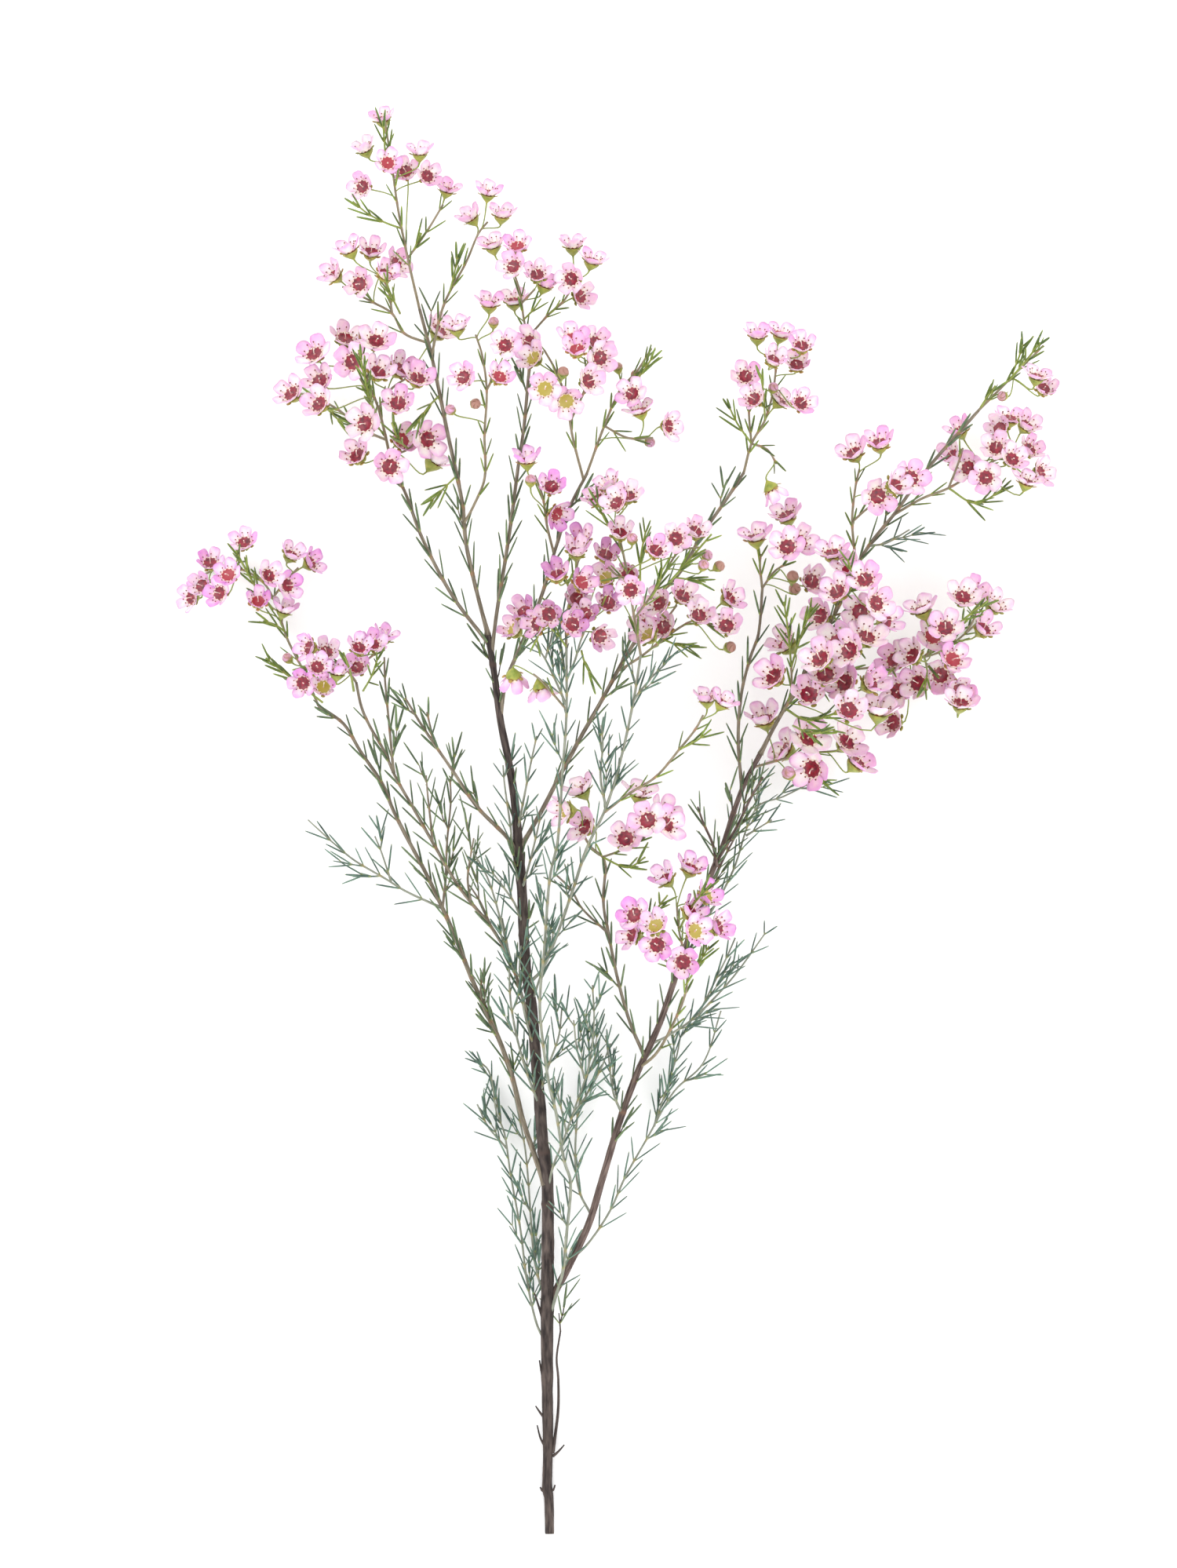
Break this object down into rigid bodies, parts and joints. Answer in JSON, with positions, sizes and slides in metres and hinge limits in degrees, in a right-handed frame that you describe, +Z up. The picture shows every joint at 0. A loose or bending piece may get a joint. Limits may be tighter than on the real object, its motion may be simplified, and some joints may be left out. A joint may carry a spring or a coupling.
{
  "type": "waxflower stem",
  "caption": "Cut flowering branch lying flat, with woody forks, needle leaves and heads of small five-petalled pink blooms.",
  "frame": {"origin": "middle of the box that the stem fills, seen from above, on the surface it lies on", "axes": "+Y along the stem from its cut end to its tip, +X to the right seen from above, +Z up from the surface"},
  "size_m": [0.3718, 0.6022, 0.1233],
  "materials": {
    "bark": "rough grey-brown bark",
    "twig": "matte grey-tan twig",
    "leaf": "matte green needles on green wood",
    "petal": "soft satin petal with a waxy sheen"
  },
  "bodies": {
    "root": {"main_stem": "bark", "crown_branch": "twig", "left_upper_branch": "twig", "right_upper_branch": "twig", "middle_branch": "twig", "right_centre_branch": "twig", "left_centre_branch": "twig", "left_branch": "twig", "left_lower_branch": "twig", "right_branch": "bark", "right_inner_branch": "twig", "right_outer_branch": "twig", "low_branch": "twig", "centre_branch_a": "leaf", "centre_branch_b": "leaf", "leafy_left": "leaf", "leafy_foot_left": "leaf", "leafy_foot_centre": "leaf", "leafy_foot_right": "leaf", "leafy_inner": "leaf", "leafy_right_long": "leaf", "leafy_right_arm": "leaf", "leafy_right_side": "leaf", "leafy_low": "leaf", "leafy_left_inner": "leaf", "leafy_right_tip": "leaf", "head_crown_top": "petal", "head_crown_right": "petal", "head_crown_left": "petal", "head_top_left": "petal", "head_top_right": "petal", "head_upper_centre": "petal", "head_upper_middle": "petal", "head_right_buds": "petal", "head_left_big": "petal", "head_far_left": "petal", "head_left_lower": "petal", "head_middle_upper": "petal", "head_middle_right": "petal", "head_middle_left": "petal", "head_middle_low": "petal", "head_hanging": "petal", "head_centre_twig": "petal", "head_upper_right": "petal", "head_far_right_tip": "petal", "head_far_right": "petal", "head_right_upper": "petal", "head_right_inner": "petal", "head_right_middle": "petal", "head_right_lower": "petal", "head_right_low": "petal", "head_right_side": "petal", "head_low_upper": "petal", "head_low": "petal"}
  },
  "joints": []
}
